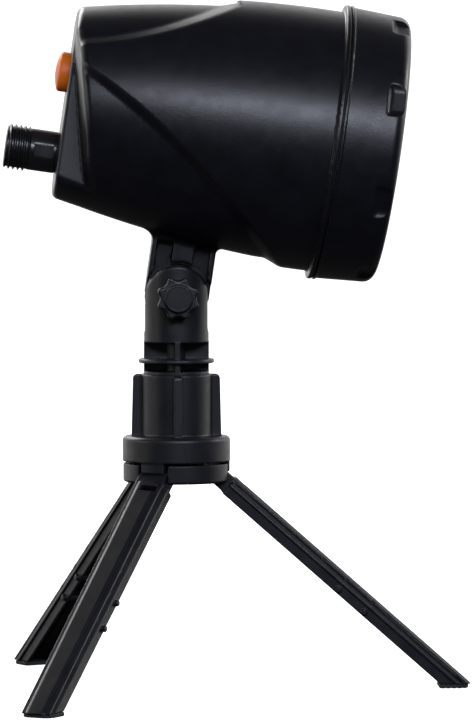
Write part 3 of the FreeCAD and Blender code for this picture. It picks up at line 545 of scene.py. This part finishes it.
def foot_field(x, y, z):
    """A rubber shoe with a rounded toe, bevelled heel corners and grooves underneath."""
    heel, toe, half, round_toe = 122.2, 136.0, 8, 5
    side = np.abs(y)
    edge = both(side - half, between(x, heel, toe))
    flat = half - round_toe
    corner = np.hypot(np.maximum(x - toe + round_toe, 0), np.maximum(side - flat, 0)) - round_toe
    outline = np.where((x > toe - round_toe) & (side > flat), corner, edge)
    heel_bevel = (heel - x + side - 6.8) * 0.707
    plan = both(outline, heel_bevel)
    grooves = both(between((x - 124) % 2.6, 0.7, 1.5), z - 0.35)
    pad = both(both(plan, -z, 0.6), z - PAD_THICKNESS, 0.15)
    return less(pad, both(grooves, between(x, 123.5, 134)))


# ---- materials ----

def shader(name, colour, roughness, **sockets):
    """A principled material and its node tree; sockets are set directly on the shader."""
    material = bpy.data.materials.new(name)
    material.use_nodes = True
    tree = material.node_tree
    principled = next(node for node in tree.nodes if node.type == "BSDF_PRINCIPLED")
    principled.inputs["Base Color"].default_value = (*colour, 1)
    principled.inputs["Roughness"].default_value = roughness
    for socket, value in sockets.items():
        principled.inputs[socket.replace("_", " ")].default_value = value
    return material, tree, principled


def noise(tree, scale, detail, stretch=None):
    """Noise over the part's own coordinates, in cycles per metre."""
    coordinates = tree.nodes.new("ShaderNodeTexCoord")
    texture = tree.nodes.new("ShaderNodeTexNoise")
    texture.inputs["Scale"].default_value = scale
    texture.inputs["Detail"].default_value = detail
    source = coordinates.outputs["Object"]
    if stretch:
        mapping = tree.nodes.new("ShaderNodeMapping")
        mapping.inputs["Scale"].default_value = stretch
        tree.links.new(source, mapping.inputs["Vector"])
        source = mapping.outputs["Vector"]
    tree.links.new(source, texture.inputs["Vector"])
    return texture.outputs["Fac"]


def ramp(tree, value, stops):
    """Map a value to numbers or colours by (position, number or colour) stops."""
    node = tree.nodes.new("ShaderNodeValToRGB")
    elements = node.color_ramp.elements
    while len(elements) < len(stops):
        elements.new(0.5)
    for element, (position, target) in zip(elements, stops):
        element.position = position
        element.color = (*target, 1) if isinstance(target, tuple) else (target, target, target, 1)
    tree.links.new(value, node.inputs["Fac"])
    return node.outputs["Color"]


def bump(tree, principled, height, strength, distance):
    """Grain too fine for the mesh; distance is its depth in metres."""
    node = tree.nodes.new("ShaderNodeBump")
    node.inputs["Strength"].default_value = strength
    node.inputs["Distance"].default_value = distance
    tree.links.new(height, node.inputs["Height"])
    tree.links.new(node.outputs["Normal"], principled.inputs["Normal"])


def plastic(name, dark, light, smooth, rough, grain, depth, **sockets):
    """Moulded plastic: a mottled colour, a roughness that wanders, and an eroded grain."""
    material, tree, principled = shader(name, dark, rough, **sockets)
    mottle = ramp(tree, noise(tree, 90, 4), [(0.3, dark), (0.75, light)])
    tree.links.new(mottle, principled.inputs["Base Color"])
    gloss = ramp(tree, noise(tree, 160, 5), [(0.3, smooth), (0.7, rough)])
    tree.links.new(gloss, principled.inputs["Roughness"])
    bump(tree, principled, noise(tree, grain, 2), 0.5, depth)
    return material


def metal(name, colour, rough, grain, stretch=None):
    """Metal with a fine drawn or turned grain and slight tarnish."""
    shade = tuple(channel * 0.8 for channel in colour)
    material, tree, principled = shader(name, colour, rough, Metallic=1.0)
    streaks = noise(tree, grain, 5, stretch)
    tarnish = ramp(tree, noise(tree, 120, 4), [(0.3, shade), (0.7, colour)])
    tree.links.new(tarnish, principled.inputs["Base Color"])
    gloss = ramp(tree, streaks, [(0.3, rough * 0.75), (0.7, rough * 1.3)])
    tree.links.new(gloss, principled.inputs["Roughness"])
    bump(tree, principled, streaks, 0.25, 0.00003)
    return material


ACRYLIC_IOR = 1.49


def clear(name, grain, depth):
    """A clear moulded optic with the slight unevenness of its surface."""
    tint, roughness = (0.97, 0.98, 1.0), 0.03
    material, tree, principled = shader(name, tint, roughness, Transmission_Weight=1.0, IOR=ACRYLIC_IOR)
    haze = ramp(tree, noise(tree, 70, 4), [(0.4, roughness), (0.8, roughness * 2.2)])
    tree.links.new(haze, principled.inputs["Roughness"])
    bump(tree, principled, noise(tree, grain, 1), 0.3, depth)
    return material


def circuit_board(name):
    """Solder mask over fine square-cornered traces."""
    mask, trace = (0.008, 0.07, 0.025), (0.02, 0.14, 0.05)
    material, tree, principled = shader(name, mask, 0.35)
    coordinates = tree.nodes.new("ShaderNodeTexCoord")
    cells = tree.nodes.new("ShaderNodeTexVoronoi")
    cells.distance = "CHEBYCHEV"
    cells.inputs["Scale"].default_value = 260
    tree.links.new(coordinates.outputs["Object"], cells.inputs["Vector"])
    edge = ramp(tree, cells.outputs["Distance"], [(0.30, mask), (0.36, trace), (0.42, mask)])
    tree.links.new(edge, principled.inputs["Base Color"])
    bump(tree, principled, cells.outputs["Distance"], 0.2, 0.00002)
    return material


def pattern_lens(name):
    """A clear disc whose face is moulded in small rounded facets that throw the moving pattern."""
    tint, roughness = (0.9, 0.93, 1.0), 0.04
    material, tree, principled = shader(name, tint, roughness, Transmission_Weight=1.0, IOR=ACRYLIC_IOR)
    coordinates = tree.nodes.new("ShaderNodeTexCoord")
    cells = tree.nodes.new("ShaderNodeTexVoronoi")
    cells.inputs["Scale"].default_value = 210
    tree.links.new(coordinates.outputs["Object"], cells.inputs["Vector"])
    haze = ramp(tree, noise(tree, 90, 3), [(0.4, 0.03), (0.8, 0.09)])
    tree.links.new(haze, principled.inputs["Roughness"])
    bump(tree, principled, cells.outputs["Distance"], 0.8, 0.0006)
    return material


SATIN = 0.36     # specular level of the two mould-textured plastics

housing_black = plastic("housing_black", (0.0035, 0.0035, 0.006), (0.006, 0.006, 0.010),
                        0.31, 0.38, 1700, 0.00008, Specular_IOR_Level=SATIN)
mount_charcoal = plastic("mount_charcoal", (0.005, 0.005, 0.0075), (0.010, 0.010, 0.0135),
                         0.37, 0.47, 1900, 0.00010, Specular_IOR_Level=SATIN)
inlet_black = plastic("inlet_black", (0.006, 0.006, 0.007), (0.010, 0.010, 0.012), 0.26, 0.36, 2600, 0.00002)
button_orange = plastic("button_orange", (0.97, 0.19, 0.008), (1.0, 0.24, 0.012), 0.42, 0.52, 2200, 0.00004)
foot_rubber = plastic("foot_rubber", (0.010, 0.010, 0.010), (0.018, 0.018, 0.018), 0.70, 0.85, 1500, 0.00010)
gasket_rubber = plastic("gasket_rubber", (0.004, 0.004, 0.004), (0.008, 0.008, 0.008),
                        0.60, 0.80, 1500, 0.00005)
inner_black = plastic("inner_black", (0.010, 0.010, 0.011), (0.018, 0.018, 0.019), 0.50, 0.65, 1700, 0.00006)
wire_red = plastic("wire_red", (0.34, 0.012, 0.010), (0.46, 0.022, 0.016), 0.35, 0.48, 900, 0.00004)
phosphor = plastic("phosphor", (0.72, 0.52, 0.08), (0.86, 0.68, 0.16), 0.30, 0.45, 2600, 0.00003)
steel = metal("zinc_steel", (0.58, 0.58, 0.60), 0.30, 900)
motor_steel = metal("motor_steel", (0.62, 0.62, 0.62), 0.26, 400, (0.1, 1.0, 1.0))
aluminium = metal("sink_aluminium", (0.74, 0.75, 0.77), 0.34, 500, (1.0, 0.15, 1.0))
brass = metal("contact_brass", (0.78, 0.56, 0.24), 0.26, 700)
window_clear = clear("window_clear", 60, 0.00005)
optic_clear = clear("optic_clear", 200, 0.00003)
pattern_clear = pattern_lens("pattern_clear")
board_green = circuit_board("board_green")

CARRIED_OVER = [
    (gasket_rubber, ["seam_gasket", "lens_gasket", "inlet_seal"]),
    (inner_black, ["lens_retainer", "lens_plate", "board_standoffs", "tact_switch"]),
    (window_clear, ["front_lens"]),
    (optic_clear, ["collimators", "projection_lenses"]),
    (pattern_clear, ["pattern_disc"]),
    (aluminium, ["heat_sink"]),
    (motor_steel, ["drive_motor"]),
    (steel, ["disc_spindle", "board_screws", "tilt_bolt", "knob_washer", "hub_screws", "leg_pins"]),
    (brass, ["inlet_contacts", "inlet_nut", "knob_nut"]),
    (board_green, ["led_board", "control_board"]),
    (phosphor, ["leds"]),
    (wire_red, ["inlet_wires", "led_wires"]),
]


# ---- the parts ----

def dress_nodes():
    """Give every CAD node that stays in view its material."""
    for material, names in CARRIED_OVER:
        for name in names:
            mesh = frame["nodes"][name].data
            mesh.materials.clear()
            mesh.materials.append(material)


def make_head():
    """Housing, bezel, button and inlet."""
    made = moulded(housing_field, (-65, -64.5, -97), (67, 64.5, 64.5), 0.9, 0.4)
    place("housing_shell", made, HEAD, "head", ["rear_housing"], housing_black)
    made = moulded(bezel_field, (58, -64, -64), (90.5, 64, 64), 0.9, 0.45)
    place("bezel_ring", made, HEAD, "head", ["front_bezel"], housing_black)
    made = moulded(button_field, (-70.5, -11.5, -11.5), (-56.5, 11.5, 11.5), 0.5)
    button = HEAD @ Matrix.Translation((0, 0, BUTTON_HEIGHT * MM))
    place("button_cap", made, button, "button", ["push_button"], button_orange)
    made = moulded(inlet_field, (-89, -11, -11), (-55.5, 11, 11), 0.4)
    inlet = HEAD @ Matrix.Translation((0, 0, INLET_HEIGHT * MM))
    place("inlet_barrel", made, inlet, "head", ["power_inlet"], inlet_black)


def make_mount():
    """Neck, clamp knob, and the two halves of the tripod's hub."""
    made = moulded(neck_field, (-18, -18, 111.5), (18, 18, 198.5), 0.6)
    place("neck_post", made, TRIPOD, "neck", ["neck"], mount_charcoal)
    made = moulded(knob_field, (-10.5, -25.5, 172), (10.5, -15, 193), 0.4)
    place("clamp_knob", made, TRIPOD, "knob", ["tilt_knob"], mount_charcoal)
    made = moulded(socket_field, (-26, -26, 101), (26, 26, 147.5), 0.6)
    place("socket_cap", made, TRIPOD, "base", ["tripod_socket"], mount_charcoal)
    made = moulded(hub_field, (-25.5, -25.5, 96), (25.5, 25.5, 107), 0.6)
    place("hub_plate", made, TRIPOD, "base", ["hub_base"], mount_charcoal)


def make_legs():
    """Three legs and their shoes from one mesh each."""
    leg = moulded(leg_field, (-5, -10.3, -6), (160, 10.3, 6), 0.5)
    foot = moulded(foot_field, (121.5, -8.6, -0.4), (136.5, 8.6, 2.2), 0.45)
    pin = Matrix.Translation((PIN_REACH * MM, 0, PIN_HEIGHT * MM))
    lean = pin @ Matrix.Rotation(math.radians(LEG_LEAN), 4, "Y")
    for side, turn in LEGS.items():
        stand = TRIPOD @ Matrix.Rotation(math.radians(turn), 4, "Z")
        body = f"leg_{side}"
        place(f"{side}_leg", leg, stand @ lean, body, [f"leg_{side}"], mount_charcoal)
        place(f"{side}_shoe", foot, stand, body, [f"foot_{side}"], foot_rubber)


dress_nodes()
make_head()
make_mount()
make_legs()


# ---- studio ----

WALL = 1.3          # strength of the wall behind the object
CEILING = 0.02
ROOM = 0.04         # strength of everything else
WARM = (1.0, 0.98, 0.96)
FLOOR_HALF = 60.0   # metres, so that the floor's edge is never seen
FRAME_HEIGHT = 36   # of the camera, and its focal length, in millimetres
LENS = 295


def area_light(name, position, aim, size, power, colour):
    """A soft box that the camera doesn't see."""
    lamp = bpy.data.lights.new(name, "AREA")
    lamp.shape = "RECTANGLE"
    lamp.size, lamp.size_y = size
    lamp.energy = power
    lamp.color = colour
    light = bpy.data.objects.new(name, lamp)
    bpy.context.scene.collection.objects.link(light)
    light.location = position
    light.visible_camera = False
    light.rotation_euler = (Vector(aim) - Vector(position)).to_track_quat("-Z", "Y").to_euler()


def level(tree, value, low, high):
    """Map a direction's component to 0 below low and 1 above high, smoothly."""
    node = tree.nodes.new("ShaderNodeMapRange")
    node.interpolation_type = "SMOOTHSTEP"
    node.inputs["From Min"].default_value = low
    node.inputs["From Max"].default_value = high
    tree.links.new(value, node.inputs["Value"])
    return node.outputs["Result"]


def maths(tree, operation, first, second):
    """A math node over two numbers or outputs."""
    node = tree.nodes.new("ShaderNodeMath")
    node.operation = operation
    for socket, value in zip(node.inputs, (first, second)):
        if isinstance(value, (int, float)):
            socket.default_value = value
        else:
            tree.links.new(value, socket)
    return node.outputs["Value"]


def make_world():
    """A white room: a bright wall behind, and dim above the object, under it and in front of it.

    The camera itself sees plain white.
    """
    world = bpy.data.worlds.new("studio")
    bpy.context.scene.world = world
    world.use_nodes = True
    tree = world.node_tree
    background = next(node for node in tree.nodes if node.type == "BACKGROUND")
    coordinates = tree.nodes.new("ShaderNodeTexCoord")
    split = tree.nodes.new("ShaderNodeSeparateXYZ")
    tree.links.new(coordinates.outputs["Generated"], split.inputs["Vector"])
    side, height = split.outputs["Y"], split.outputs["Z"]
    low_wall = maths(tree, "MULTIPLY", level(tree, height, -0.3, -0.05), level(tree, height, 0.85, 0.35))
    wall = maths(tree, "MULTIPLY", level(tree, side, -0.2, 0.5), low_wall)
    ceiling = maths(tree, "MULTIPLY", level(tree, height, 0.4, 0.9), CEILING)
    brightest = maths(tree, "MAXIMUM", maths(tree, "MULTIPLY", wall, WALL), ceiling)
    room = maths(tree, "ADD", brightest, ROOM)
    path = tree.nodes.new("ShaderNodeLightPath")
    seen = maths(tree, "MAXIMUM", path.outputs["Is Camera Ray"], room)
    tree.links.new(seen, background.inputs["Strength"])
    background.inputs["Color"].default_value = (1, 1, 1, 1)


def make_floor():
    """A white sheet that neither mirrors nor lights the object."""
    floor = bpy.data.meshes.new("floor")
    half = FLOOR_HALF
    corners = [(-half, -half, 0), (half, -half, 0), (half, half, 0), (-half, half, 0)]
    floor.from_pydata(corners, [], [(0, 1, 2, 3)])
    stage = bpy.data.objects.new("floor", floor)
    bpy.context.scene.collection.objects.link(stage)
    stage.visible_glossy = False
    stage.visible_diffuse = False
    material, tree, principled = shader("floor_paper", (0.85, 0.85, 0.85), 0.8)
    principled.inputs["Emission Color"].default_value = (1, 1, 1, 1)
    principled.inputs["Emission Strength"].default_value = 1.0
    mottle = ramp(tree, noise(tree, 40, 4), [(0.3, 0.84), (0.7, 0.88)])
    tree.links.new(mottle, principled.inputs["Base Color"])
    floor.materials.append(material)


def make_studio():
    bpy.context.scene.view_settings.view_transform = "Standard"
    make_world()
    area_light("key", (0.33, -1.78, 1.0), (0.33, 0, 0.25), (1.7, 0.3), 31, (0.80, 0.86, 1.0))
    area_light("left", (-2.3, -0.5, 0.6), (-0.1, 0, 0.27), (0.7, 0.7), 8, (1.0, 0.98, 0.95))
    area_light("back", (-0.9, 1.7, 1.3), (0, 0, 0.25), (1.6, 0.5), 22, WARM)
    area_light("front", (2.2, 0.7, 1.0), (0, 0, 0.25), (0.9, 0.6), 16, WARM)
    make_floor()


def make_camera():
    """A long lens from the side, a little behind the object's middle and a little above it."""
    camera = bpy.data.cameras.new("camera")
    camera.sensor_fit = "VERTICAL"
    camera.sensor_height = FRAME_HEIGHT
    camera.lens = LENS
    viewer = bpy.data.objects.new("camera", camera)
    bpy.context.scene.collection.objects.link(viewer)
    azimuth, tilt, distance = math.radians(-3.0), math.radians(3.1), 2.74
    aim = Vector((-0.0008, 0, 0.153))
    level_part = math.cos(tilt)
    back = Vector((math.sin(azimuth) * level_part, -math.cos(azimuth) * level_part, math.sin(tilt)))
    viewer.location = aim + back * distance
    viewer.rotation_euler = (-back).to_track_quat("-Z", "Y").to_euler()
    camera.clip_end = 200
    bpy.context.scene.camera = viewer


make_studio()
make_camera()
